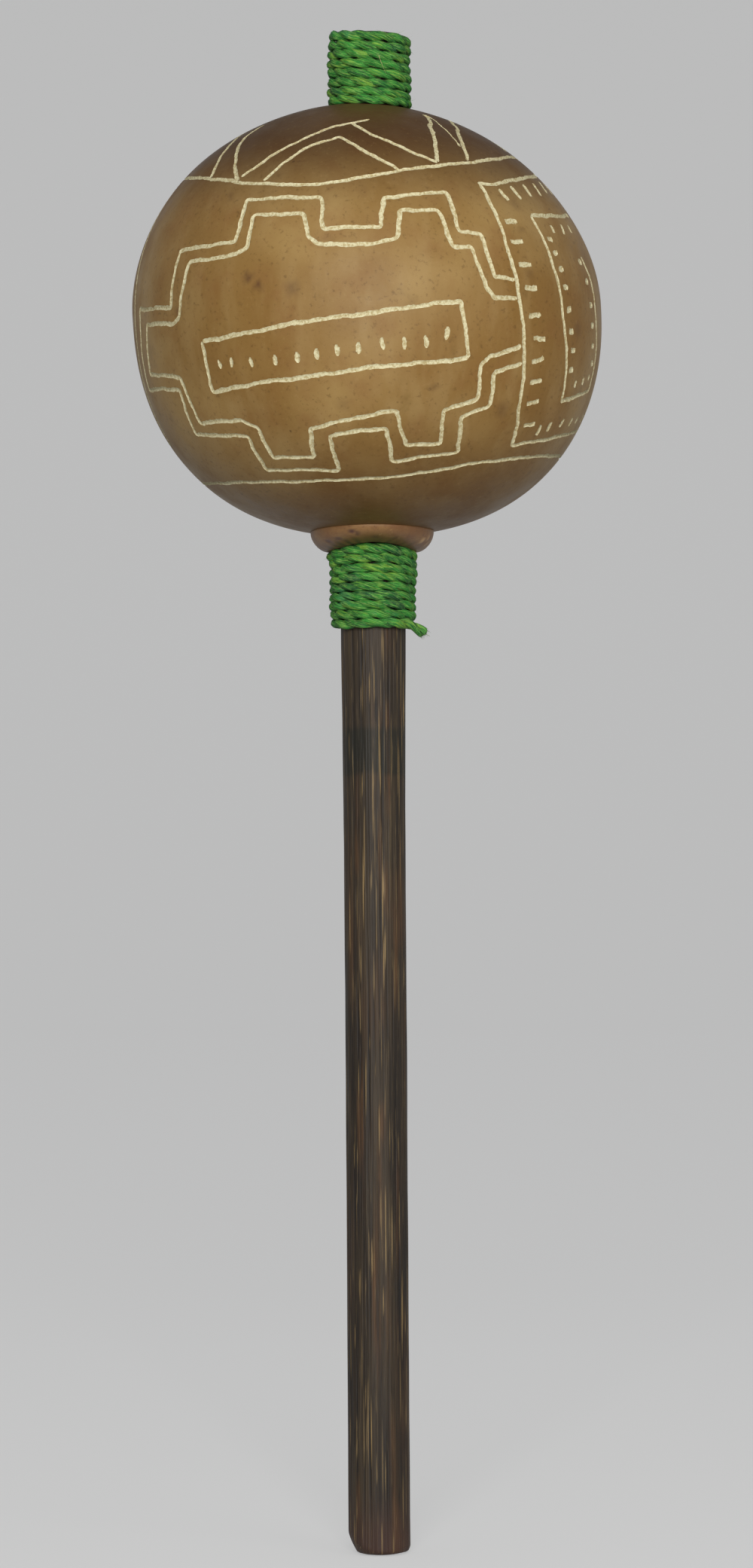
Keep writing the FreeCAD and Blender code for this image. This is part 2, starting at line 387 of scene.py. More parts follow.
def scratched(corners, seed, width, end):
    """Line of a scratch through corners of (degrees round from the front, height on the gourd).

    It goes straight between corners, drawn out by the local radius x angle and the length along
    the meridian, and a long one is averaged over three steps, so that it turns its corners in a
    small bend. Across it, it wanders as a sum of waves, its width varies by a tenth, and at its
    ends it narrows to a share. It returns rows of azimuth and latitude: left, middle, right.
    """
    azimuth, height = np.radians([c[0] for c in corners]), np.array([c[1] for c in corners], float)
    along = np.interp(height, arc_height, arc_length)
    radius = np.interp((along[1:] + along[:-1]) / 2, arc_length, arc_radius)
    reach = np.hypot(np.diff(azimuth) * radius, np.diff(along))
    is_nick = reach.sum() < NICK_LENGTH
    pieces = []
    for n in range(len(corners) - 1):
        steps = max(2, math.ceil(reach[n] / (NICK_STEP if is_nick else LINE_STEP)))
        share = np.linspace(0, 1, steps, endpoint=False)[:, None]
        pieces.append((1 - share) * [azimuth[n], along[n]] + share * [azimuth[n + 1], along[n + 1]])
    route = np.concatenate(pieces + [[[azimuth[-1], along[-1]]]])
    if not is_nick:
        route[1:-1] = (route[:-2] + route[1:-1] + route[2:]) / 3
    radius = np.interp(route[:, 1], arc_length, arc_radius)
    going = np.gradient(route, axis=0) * np.stack([radius, 1 + 0 * radius], 1)
    going /= np.hypot(going[:, 0], going[:, 1])[:, None]
    across = np.stack([-going[:, 1], going[:, 0]], 1)
    count = np.arange(len(route))
    dice = np.random.default_rng(seed)
    waver = sum(np.sin(math.tau * count * LINE_STEP / length + dice.uniform(0, 6.3)) * size
                for length, size in ((31, 0.14), (13, 0.12), (6.1, 0.07), (3.3, 0.04)))
    fray = dice.normal(0, 0.055, (2, len(route)))
    half = width / 2 * (1 + 0.09 * np.sin(count * 0.19 + dice.uniform(0, 6.3))
                        + 0.06 * np.sin(count * 0.83 + dice.uniform(0, 6.3)))
    half[[0, -1]] *= end
    if is_nick:
        half[[1, -2]] *= (1 + end) / 2
    rows = []
    for offset in (waver - half + fray[0], waver, waver + half + fray[1]):
        moved = route + across * offset[:, None] / np.stack([radius, 1 + 0 * radius], 1)
        rows.append(np.stack([moved[:, 0], np.interp(moved[:, 1], arc_length, arc_latitude)], 1))
    return rows


# The pattern's corners, as (degrees round, millimetres above the widest place). A stepped cross
# within a stepped cross holds a slanting bar with a row of upright nicks.
cross_outer = [
    (38.5, 2.5), (32.5, 2.7), (31, 13.8), (25, 14.4), (24.5, 24.6), (6.5, 23.2), (5, 15.5),
    (-9.5, 15.8), (-10, 23.8), (-32.5, 24.8), (-33, 13.7), (-52.5, 13.3), (-54.5, -1), (-74, 0.5),
    (-76.5, -19.8), (-56.5, -21), (-57.5, -32.5), (-37, -33.8), (-37, -42.2), (-12, -43.1),
    (-12.5, -34.9), (3.5, -33.6), (5.5, -41.7), (26, -39.8), (24, -31.3), (32.5, -28.7),
    (32.5, -20.7), (40.5, -17.9)]
cross_inner = [
    (38.8, -2.1), (32, -2.3), (30, -0.1), (27.5, 10.3), (22.5, 10.4), (20.5, 19.6), (10.5, 19.8),
    (8.5, 12.8), (2, 11.1), (-11, 11.7), (-13, 14), (-14.5, 19.8), (-28.7, 20.4), (-29.5, 12.2),
    (-32.5, 10.6), (-47.5, 9.8), (-51.3, -3.7), (-54, -4.7), (-68.5, -4), (-71.5, -16.3),
    (-54.5, -18.1), (-53, -30), (-37.5, -29.8), (-32.7, -32.2), (-32, -39.5), (-18.5, -39.7),
    (-17.5, -32.9), (6.3, -29.5), (9.2, -37.8), (19.8, -37.7), (19, -29.5), (28.3, -27.2),
    (28.2, -19), (31.2, -16.7), (40, -14)]
bar = [
    (-43.4, -10.4), (23.2, -3.2), (25, -17.1), (-43.5, -22.7), (-43.8, -10.2)]
bar_nicks = [
    (-39.4, -16.1), (-35.6, -15.9), (-29.9, -16.2), (-23.1, -16.1), (-17.5, -15.8), (-12.5, -15.2),
    (-7.5, -14.5), (-2.2, -14.2), (3.4, -13.3), (8.6, -13.3), (13.9, -13), (19.1, -11)]
# Beside it stands a panel: a frame within a frame, with dashes and dots along the inside of each.
frame_outer = [
    (37, 27), (38.2, 10), (39.6, -3), (41.4, -17), (42.3, -29.6), (44.5, -37.9), (60.4, -35.8),
    (78, -33.9), (86.5, -33), (88.5, -12), (89, 8), (87, 32.8), (70, 31), (49, 28.3), (43, 27.4),
    (36.5, 27.1)]
frame_inner = [
    (79, 21.4), (62, 20), (51.3, 19.4), (53, 7.6), (54.6, 0), (56.4, -10.8), (58, -18), (59, -26.8),
    (77, -23.2), (77.6, -18), (77.2, -12.5), (75.2, -3), (74, 4.5), (70.6, 10)]
frame_dashes = [
    (42.1, 17.4), (41.8, 12.1), (42.7, 6.3), (43.6, 0.5), (44.5, -6.1), (46.1, -12), (46, -17.1),
    (46.3, -22.4), (46.9, -27.7), (48.2, -32.8)]
frame_dots = [
    (55.4, 13.6), (55.8, 10), (56.6, 6), (57.4, 1.2), (58.2, -4.3), (59.2, -9.6), (60.6, -14.2),
    (60.7, -19.1), (68.7, 8.5), (70.4, 3.5), (71.8, -2), (72.4, -7.4), (73.2, -12.3), (74.5, -16.5)]
frame_ticks = [
    [(43.4, 26), (44.6, 23)], [(49.5, 27.1), (50.9, 23.7)], [(56.8, 28), (57, 24.8)], [(64.5, 28.9),
    (63.6, 25.4)], [(73.5, 29.8), (71.4, 26.6)], [(80, 30), (78.5, 27)], [(52.8, -35.2),
    (53.4, -32.8)], [(57.4, -34.2), (57.8, -31.9)], [(63.6, -33), (64.3, -30.9)], [(69.6, -32.4),
    (70.6, -30.4)], [(75, -31.7), (75.8, -30)], [(81.5, -31), (82.3, -29)]]
inner_ticks = [
    [(58.7, 17.3), (59, 15.4)], [(65.3, 18), (64.8, 15.4)], [(71.2, 18.2), (70.9, 16.3)],
    [(64.4, -23.2), (64.8, -21.5)], [(69, -22.3), (69.4, -20.4)], [(73.5, -21), (74, -19.6)]]


def nick(place, across, rise):
    """A short cut about a place: its half reach round the gourd in degrees, and up in millimetres."""
    return [(place[0] - across, place[1] - rise), (place[0] + across, place[1] + rise)]


unit_scratches = [(figure, LINE_WIDTH, 0.62)
                  for figure in (cross_outer, cross_inner, bar, frame_outer, frame_inner)]
unit_scratches += [(nick(place, 0, 1.15 + 0.008 * (place[0] + 40)), 1.2, 0.35) for place in bar_nicks]
unit_scratches += [(nick(place, 2.1, 0.1 if place[1] > -15 else 0.45), 1.3, 0.85) for place in frame_dashes]
unit_scratches += [(nick(place, 1.1, 0.1), 1.5, 0.85) for place in frame_dots]
unit_scratches += [(cut, 1.25, 0.8) for cut in frame_ticks + inner_ticks]

# The cross and its panel go round once more, drawn out to fill the back: each angle from the
# cross's middle grows by a seventh.
scratches = []
for turn, stretch in ((-17, 1.0), (159, 1.14)):
    scratches += [([(turn + stretch * (place + 17), height) for place, height in corners], width, end)
                  for corners, width, end in unit_scratches]

# A line runs round above the pattern and one below it, and peaks stand on the upper one. On the
# back they stand a little wider.
upper_line = [
    (-180, 33.5), (-140, 34.5), (-100, 34.5), (-67, 33.2), (-47, 31.1), (-35, 29.4), (-13, 27),
    (-2, 28.2), (9, 29.8), (46, 33.9), (75, 36.7), (100, 35), (140, 32.5), (180, 33.5)]
lower_line = [
    (-180, -43), (-130, -43), (-80, -43.6), (-50, -44.6), (-12, -45.5), (0.5, -45.6), (18.5, -44.2),
    (37, -42), (54.5, -40.3), (82, -39.5), (130, -40.5), (180, -43)]
peaks = [
    [(-38.5, 31.3), (-30, 36.6), (-20, 40.4), (-8.3, 43.6), (8, 45.3)], [(-1, 44.2), (7.7, 40.1),
    (19.4, 35.4), (26.2, 32.7)], [(-29, 29.5), (-24, 34.3), (-17, 37.8), (-6, 40.2), (3.9, 35.5),
    (12.6, 30.3)], [(-39.3, 30.2), (-46, 35.8), (-52.6, 40), (-59.5, 43.3), (-62, 46.5)],
    [(-53.5, 32), (-56.7, 36.2), (-61.2, 39.7), (-66.4, 42.4), (-78, 45.5)], [(26.4, 32.9),
    (31, 38.8), (37, 43.6), (50, 47.6)], [(38.8, 33.4), (43.1, 38.3), (49.8, 42.1), (61, 45.2),
    (74, 46.8)]]
scratches += [(upper_line, LINE_WIDTH, 0.7), (lower_line, LINE_WIDTH, 0.7)]
scratches += [([(51, 47.5), (45.3, 44.2), (42.4, 41.1), (40.7, 37.6)], 0.42, 0.6)]
scratches += [(peak, 1.05, 0.62) for peak in peaks]
# The first three peaks are repeated at three places to fill the round at the back, with their feet
# as far above the line as here.
line_places, line_heights = np.array(upper_line).T
for turn in (113, 181, 249):
    for peak in peaks[:3]:
        place, height = np.array(peak).T
        height = height + np.interp((turn + place + 180) % 360 - 180, line_places, line_heights)
        height = height - np.interp(place, line_places, line_heights)
        scratches.append((list(zip(turn + place, height)), 1.05, 0.62))

rows_of_lines = [scratched(corners, seed, width, end) for seed, (corners, width, end) in enumerate(scratches)]

# The mesh of the skin is laid out flat on the map rolled up round the upper pole, where a point
# lies at a distance of e^-latitude. Points spread in a golden-angle spiral fill the skin, the
# lines bring their own, and a triangulation keeps to the lines' edges.
rim_angle = full_turn(RIM_POINTS)


def hole_rim(radius, level, side):
    """Azimuth and latitude of a hole of that radius round the stick, cut through the leaning
    gourd at the upper pole, where side is 1, or at the lower one, where it is -1."""
    x = radius * np.sin(rim_angle) - GOURD_OFFSET + level * (math.sin(GOURD_LEAN) + GOURD_SKEW)
    y = -radius * np.cos(rim_angle)
    half = side * arc_height > 0
    order = np.argsort(arc_radius[half])
    latitude = np.interp(np.hypot(x, y), arc_radius[half][order], arc_latitude[half][order])
    return np.stack([np.arctan2(x, -y), latitude], 1)


crown_rim = hole_rim(CROWN_HOLE, GOURD_RISE, 1)
floor_rim = hole_rim(FLOOR_HOLE, -GOURD_DROP, -1)
line_points = np.concatenate([np.concatenate(rows) for rows in rows_of_lines])
is_middle = np.zeros(len(line_points), bool)
line_edges = []
first = 0
for rows in rows_of_lines:
    index = first + np.arange(3 * len(rows[0])).reshape(3, -1)
    is_middle[index[1, 1:-1]] = True
    line_edges += [np.stack([row[:-1], row[1:]], 1) for row in index]
    line_edges += [np.stack([index[:2, end], index[1:, end]], 1) for end in (0, -1)]
    first += index.size
line_edges = np.concatenate(line_edges)

spread = np.arange(SKIN_POINTS)
filling_area = (spread + 0.5) / SKIN_POINTS * arc_area[-1]
filling = np.stack([(spread * math.pi * (3 - math.sqrt(5))) % math.tau,
                    np.interp(filling_area, arc_area, arc_latitude)], 1)
filling_place = skin_points(*filling.T) * 1000
middle_place = skin_points(*line_points[is_middle].T) * 1000


def nearest(places, targets):
    """Distance from each place to the nearest target: sqrt(|p|^2 + |t|^2 - 2 p.t) at its least."""
    centre = targets.mean(0)
    targets = (targets - centre).astype(np.float32)
    found = []
    for share in np.array_split((places - centre).astype(np.float32), max(1, len(places) // 1500)):
        squares = (targets ** 2).sum(1)[None, :] - 2 * share @ targets.T
        found.append((share ** 2).sum(1) + squares.min(1))
    return np.sqrt(np.maximum(np.concatenate(found), 0))


from_stick = np.hypot(filling_place[:, 0], filling_place[:, 1])
off_holes = from_stick > np.where(filling[:, 1] > 0, CROWN_HOLE, FLOOR_HOLE) + 0.7
open_skin = off_holes & (nearest(filling_place, middle_place) > 1.0)
chart = np.concatenate([line_points, crown_rim, floor_rim, filling[open_skin]])
crown_ids = len(line_points) + np.arange(RIM_POINTS)
floor_ids = crown_ids + RIM_POINTS
flat = np.exp(-chart[:, 1])[:, None] * np.stack([np.cos(chart[:, 0]), np.sin(chart[:, 0])], 1)
laid, _, laid_faces, *_ = delaunay_2d_cdt(flat.tolist(), line_edges.tolist(), [], 0, 1e-9, False)
laid = np.array([tuple(point) for point in laid])
triangles = np.array(laid_faces)
assert np.allclose(laid[:len(flat)], flat, rtol=1e-4)

# A triangle is in a groove if it touches a line's middle, or lies among lines and close to one.
# The points that no triangle of the skin touches are sunk.
is_rim = np.zeros(len(laid), bool)
is_rim[crown_ids] = is_rim[floor_ids] = True
triangles = triangles[~is_rim[triangles].all(1)]
on_middle = np.pad(is_middle, (0, len(laid) - len(is_middle)))
on_line = np.ones(len(laid), bool)
on_line[len(line_points):len(flat)] = False
in_groove = on_middle[triangles].any(1)
latitude = -np.log(np.hypot(laid[:, 0], laid[:, 1]))
azimuth = np.arctan2(laid[:, 1], laid[:, 0])
doubtful = np.flatnonzero(~in_groove & on_line[triangles].all(1))
centres = (skin_points(azimuth, latitude) * 1000)[triangles[doubtful]].mean(1)
in_groove[doubtful[nearest(centres, middle_place) < 0.5]] = True
touches_skin = np.zeros(len(laid), bool)
touches_skin[triangles[~in_groove].ravel()] = True
skin = skin_points(azimuth, latitude, np.where(touches_skin, 0, LINE_DEPTH))

# Inside, the rind is scraped to one thickness, and a wall closes it at each hole.
share = np.linspace(0, 1, INSIDE_ROWS)[:, None]
ends_length, ends_turn = [], []
for rim in (crown_rim, floor_rim):
    ends_length.append(np.interp(rim[:, 1], arc_latitude, arc_length))
    ends_turn.append((rim[:, 0] - rim_angle + math.pi) % math.tau - math.pi)
inside_azimuth = rim_angle + (1 - share) * ends_turn[0] + share * ends_turn[1]
inside_length = (1 - share) * ends_length[0] + share * ends_length[1]
inside_latitude = np.interp(inside_length, arc_length, arc_latitude)
inside = skin_points(inside_azimuth, inside_latitude, RIND_THICKNESS)
inside_ids = len(skin) + np.arange(inside[..., 0].size).reshape(INSIDE_ROWS, RIM_POINTS)
inside_quads = ring_faces(np.concatenate([crown_ids[None], inside_ids, floor_ids[None]]))
parts = np.concatenate([np.full(len(inside_quads), 2), in_groove])

# The skin is stained in small spots, as (azimuth, height, half width, half height, strength).
height_on_skin = np.interp(latitude, arc_latitude, arc_height)
dice = np.random.default_rng(77)
spots = [(-0.50, 4.6, 1.7, 1.3, 0.9), (-0.455, 2.4, 1.3, 1.5, 0.8),
         (0.28, -24, 1.3, 1.2, 0.5), (-0.9, -2, 1.5, 1.4, 0.6)]
for _ in range(60):
    spots.append((dice.uniform(-3.1, 3.1), dice.uniform(-50, 45), *dice.uniform(0.9, 2.6, 2),
                  dice.uniform(0.15, 0.5)))
stain = np.append(lenses(azimuth, height_on_skin, 58, spots), np.zeros(inside_ids.size))
gourd = piece_from("engraved_gourd", np.concatenate([skin, inside.reshape(-1, 3)]), inside_quads, triangles,
                   [("stain", stain)], parts)

# Where two materials meet, the edge is sharp.
corner_edge = np.zeros(len(gourd.data.loops), np.int32)
gourd.data.loops.foreach_get("edge_index", corner_edge)
corner_part = np.repeat(parts, np.repeat([4, 3], [len(inside_quads), len(triangles)]))
least, most = np.full(len(gourd.data.edges), 9), np.full(len(gourd.data.edges), -1)
np.minimum.at(least, corner_edge, corner_part)
np.maximum.at(most, corner_edge, corner_part)
gourd.data.attributes.new("sharp_edge", "BOOLEAN", "EDGE").data.foreach_set("value", least != most)

rind = Finish("oiled_gourd_skin", 0.46, Specular_IOR_Level=0.2)
clouds = rind.noise(22, 3, 0.55, shift=2.3)
blotches = rind.noise(95, 4, 0.6, shift=5.1)
runs = rind.noise(120, 3, 0.6, (1, 1, 0.25), 1.7)
pores = rind.noise(900, 3, 0.6)
flecks = rind.noise(420, 2, 0.5, shift=8.8)
rind_height = rind.height(clouds, 0.012)
rind.painted(
    (136, 102, 52),
    ((clouds, 0.35, 0.68), 166, 135, 82),
    ((runs, 0.42, 0.7, 0.4), 168, 139, 90),
    ((blotches, 0.45, 0.75, 0.45), 134, 94, 52),
    ((blotches, 0.4, 0.2, 0.4), 98, 74, 34),
    # Darker towards the crown and towards the floor: partly the rind's own red-brown stain, partly painted
    # shade where the front light falls off at the top and bottom.
    ((rind_height, 0.342, 0.366, 0.85), 70, 43, 18),
    ((rind_height, 0.298, 0.266, 0.66), 80, 49, 17),
    ((pores, 0.45, 0.25, 0.4), 78, 50, 24),
    ((pores, 0.58, 0.8, 0.25), 172, 140, 90),
    ((flecks, 0.74, 0.8, 0.6), 66, 42, 24),
    (rind.times(rind.attribute("stain"), rind.span(pores, 0.3, 0.6, 0.9, 0.5)), 72, 44, 34))
rind.put(rind.span(blotches, 0.3, 0.7, 0.54, 0.42), rind.shader.inputs["Roughness"])
rind.bump(rind.math("ADD", pores, rind.times(blotches, 2.0)), 0.00012, 0.35)

pith = Finish("cream_pith", 0.85)
crumbs = pith.noise(1400, 3, 0.7)
pith.painted((186, 168, 120), ((crumbs, 0.35, 0.6), 222, 213, 172), ((crumbs, 0.36, 0.2), 146, 116, 74))
pith.bump(crumbs, 0.0002, 0.6)

inner_rind = Finish("scraped_inner_rind", 0.8)
scrapes = inner_rind.noise(160, 4, 0.6, (1, 1, 0.3))
inner_rind.painted((176, 146, 98), ((scrapes, 0.3, 0.7), 204, 180, 134))
inner_rind.bump(scrapes, 0.0004, 0.5)
for finish in (rind, pith, inner_rind):
    gourd.data.materials.append(finish.material)
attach(gourd, "rattle")
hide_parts("gourd_shell")


# ---- Collar ---------------------------------------------------
# A bowl of paler rind under the gourd, wider towards the front, where its foot rides up in a low
# arch over the winding. Its foot is turned under, browned and creased where it was cut, and the
# brown band at its foot is partly painted shade under the rim.
collar_low, collar_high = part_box("neck_collar")
COLLAR_FOOT = 11.5
COLLAR_REACH = 14.95
COLLAR_BRIM = 5.7
COLLAR_ARCH = 2.15
COLLAR_SINK = 1.0
COLLAR_BORE = 8.9


def on_stick(azimuth, radius, height):
    """Points round the stick, from an azimuth measured from the front to the right."""
    return np.stack([radius * np.sin(azimuth), -radius * np.cos(azimuth), height], -1)


def underside(azimuth, radius):
    """Height of the hung gourd's skin at a radius round the stick, in millimetres: the meridian's
    height at that point's distance from the leaning axis, found in three rounds."""
    sine, cosine = math.sin(GOURD_LEAN), math.cos(GOURD_LEAN)
    x, y = radius * np.sin(azimuth), -radius * np.cos(azimuth)
    low = ~above
    z = np.full(np.shape(x), -GOURD_DROP)
    for _ in range(3):
        own_x = (x - GOURD_OFFSET + z * (sine + GOURD_SKEW)) / cosine
        z = np.interp(np.hypot(own_x, y), arc_radius[low], arc_height[low])
    return own_x * sine + z * cosine + gourd_equator


# The section's outer side is a bent quarter of an ellipse: from foot to brim the radius goes with
# sin(turn)^1.12, and the height with 1 - cos(turn). Behind it the ring is sunk into the rind.
collar_turn = np.linspace(-math.pi, math.pi, 216, endpoint=False)[None, :]
collar_rise = np.linspace(0, math.pi / 2, 44)[:, None]
front = np.cos(collar_turn / 2) ** 6
brim_radius = COLLAR_REACH + COLLAR_BRIM * front + 0.25 * np.cos(2 * collar_turn + 0.6)
foot_height = collar_low.z * 1000 + COLLAR_ARCH * np.cos(collar_turn / 2) ** 8
foot_height += 0.12 * np.sin(3 * collar_turn + 1)
brim_height = underside(collar_turn, brim_radius)
wobble = closed_noise(collar_turn, 7 * np.sin(collar_rise), 31, 12, (1, 7), 9)
outer = COLLAR_FOOT + (brim_radius - COLLAR_FOOT) * np.sin(collar_rise) ** 1.12
outer = outer + 0.13 * np.sin(collar_rise) * wobble
share = 1 - np.cos(collar_rise)
height = foot_height + (brim_height - foot_height) * share
creases = closed_noise(collar_turn, height - foot_height, 33, 18, (14, 44), 14)
foot_band = np.clip(1 - share / 0.34, 0, 1) * (0.55 + 0.45 * np.cos(collar_turn + 0.5))
outer = outer - 0.22 * foot_band * np.clip(creases, -0.2, 1)
up = height - collar_low.z * 1000
scars = lenses(collar_turn, up, 17.0, [
    (-0.27, 4.7, 1.0, 0.6, 1.0), (-0.2, 4.2, 0.6, 0.8, 0.7), (-0.52, 3.0, 1.3, 0.5, 0.8),
    (-0.75, 2.5, 1.2, 0.5, 0.9), (0.04, 3.3, 1.0, 0.4, 0.6), (0.35, 3.1, 0.9, 0.5, 0.5),
    (2.6, 2.5, 1.4, 0.8, 0.7), (-2.0, 2.2, 1.8, 0.6, 0.8)])
cracks = lenses(collar_turn, up, 15.0, [
    (0.90, 2.6, 0.9, 0.9, 1.0), (1.02, 3.3, 0.6, 0.9, 0.8), (1.13, 1.9, 0.5, 0.8, 0.8),
    (-2.2, 2.2, 0.6, 1.0, 0.8)])
outer = outer - 0.20 * scars + 0.14 * cracks
hidden_share = np.linspace(0, 1, 9)[1:, None]
sunk_radius = brim_radius - 0.5 - (brim_radius - 0.5 - COLLAR_BORE) * hidden_share
sunk_height = underside(collar_turn, sunk_radius) + COLLAR_SINK
bore_radius = np.array([[COLLAR_BORE], [COLLAR_BORE], [COLLAR_BORE + 0.5]]) + 0 * collar_turn
bore_height = foot_height + np.array([[3.0], [0.9], [0.25]])
collar_radius = np.concatenate([outer, sunk_radius, bore_radius])
collar_height = np.concatenate([height, sunk_height, bore_height])
collar_points = on_stick(collar_turn, collar_radius, collar_height) / 1000
collar_index = np.arange(collar_radius.size).reshape(collar_radius.shape)
collar_quads = ring_faces(np.concatenate([collar_index, collar_index[:1]]))
# The brown of the foot band is partly the cut foot's own browning and creases, partly painted shade under the
# rim.
collar_marks = (("browning_and_shade", foot_band * (0.8 + 0.4 * creases)), ("scar", scars), ("crack", cracks))
hidden_rows = ((0, len(collar_radius) - len(outer)), (0, 0))
collar = piece_from("rind_collar", collar_points, collar_quads, attributes=[
    (title, np.pad(values, hidden_rows)) for title, values in collar_marks])

pale_rind = Finish("pale_rind_collar", 0.5)
drift = pale_rind.noise(150, 4, 0.6, shift=4.4)
grain = pale_rind.noise(1100, 3, 0.6)
specks = pale_rind.noise(520, 3, 0.7, shift=6.6)
pale_rind.painted(
    (124, 85, 48),
    ((drift, 0.35, 0.7), 146, 108, 64),
    ((grain, 0.5, 0.25, 0.4), 108, 72, 40),
    ((specks, 0.6, 0.72, 0.55), 96, 58, 34),
    ((specks, 0.38, 0.28, 0.4), 184, 150, 98),
    # Brown at the foot: the cut's own browning, with painted shade under the rim.
    (pale_rind.times(pale_rind.attribute("browning_and_shade"), pale_rind.span(drift, 0.2, 0.6, 1.0, 0.6)), 66, 40, 26),
    (pale_rind.attribute("scar"), 72, 38, 34),
    (pale_rind.attribute("crack"), 192, 154, 108))
pale_rind.bump(grain, 0.00015, 0.4)
collar.data.materials.append(pale_rind.material)
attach(collar, "rattle")
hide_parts("neck_collar")


# ---- Bindings -------------------------------------------------
# Two-ply twine, rolled by hand from palm fibre dyed green, wound tight on the stick to pinch the
# gourd and its collar. The lower one was finished last: its end was cut off short and has frayed.
TWINE_LAY = 10.2
PLY_RADIUS = 0.84
PLY_OFFSET = 0.58
PRESSED_OFFSET = 0.62
PRESSED_PLY = 1.15
TWINE_STEP = 0.42
PLY_SIDES = 32
PLY_HAIRS = 260
CUT_END_HAIRS = 34
PLY_APART = 900.0
STRAND_RADIUS = 0.8
HAIR_RINGS = 7
HAIR_SIDES = 3


def stair(turns, slope):
    """Height in turns of a winding after a number of turns: turns + slope x sin(whole turns) /
    full circle, so that it climbs most where it passes a whole turn, and least half a turn on."""
    return turns + slope * np.sin(math.tau * turns) / math.tau


def lengths_along(route):
    """Length along a route at each of its points."""
    return np.concatenate([[0], np.cumsum(np.linalg.norm(np.diff(route, axis=0), axis=1))])


def even_steps(route, step):
    """The same route with its points a step apart along it, and the length at each."""
    length = lengths_along(route)
    wanted = np.linspace(0, length[-1], math.ceil(length[-1] / step))
    return np.stack([np.interp(wanted, length, part) for part in route.T], 1), wanted


def unit(vectors):
    """The same directions with a length of one."""
    return vectors / np.linalg.norm(vectors, axis=-1, keepdims=True)


def hairs(roots, ways, lifts, lengths, thickness):
    """Fibres that stand off the twine: each leaves its root along its way, bends off by its lift x
    share^2, and tapers to a point. Each is a tube of 3 sides, which returns as points, quads and
    the triangles that close it."""
    share = np.linspace(0, 1, HAIR_RINGS)[None, :, None]
    middle = roots[:, None] + lengths[:, None, None] * (ways[:, None] * share + lifts[:, None] * share ** 2)
    first = unit(np.cross(ways, lifts + [0.013, 0.007, 0.003]))[:, None, None]
    second = np.cross(unit(ways)[:, None, None], first)
    turn = full_turn(HAIR_SIDES)[None, None, :, None]
    width = (thickness[:, None, None] * (1.02 - share))[..., None] / 2
    tubes = middle[:, :, None] + width * (np.cos(turn) * first + np.sin(turn) * second)
    index = np.arange(tubes[..., 0].size).reshape(tubes.shape[:3])
    right = np.roll(index, -1, 2)
    quads = np.stack([index[:, :-1], right[:, :-1], right[:, 1:], index[:, 1:]], -1).reshape(-1, 4)
    return tubes.reshape(-1, 3), quads, np.concatenate([index[:, 0, ::-1], index[:, -1]])


